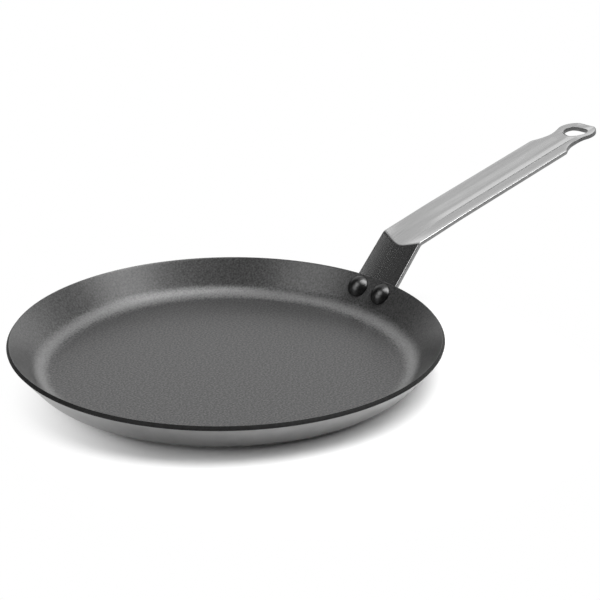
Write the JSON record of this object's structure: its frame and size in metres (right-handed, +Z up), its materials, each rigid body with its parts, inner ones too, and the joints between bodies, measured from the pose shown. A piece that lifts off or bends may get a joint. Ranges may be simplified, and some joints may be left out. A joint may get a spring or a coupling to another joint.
{
  "type": "crepe pan",
  "caption": "Shallow round crepe pan with a flat base, a low flared wall and a long riveted strap handle that ends in a hanging eye.",
  "frame": {"origin": "the pan's axis at the underside of its flat base", "axes": "+X from the pan's axis along the handle, +Z up out of the pan, +Y to the left of someone who looks along the handle from the pan"},
  "size_m": [0.4013, 0.22, 0.0685],
  "materials": {
    "pan_coating": "dark grey satin coating on pressed sheet steel",
    "handle_steel": "smooth satin steel strap",
    "rivet_coating": "dark glossy coating on steel"
  },
  "bodies": {
    "root": {"pan_body": "pan_coating", "handle": "handle_steel", "rivet_left": "rivet_coating", "rivet_right": "rivet_coating"}
  },
  "joints": []
}
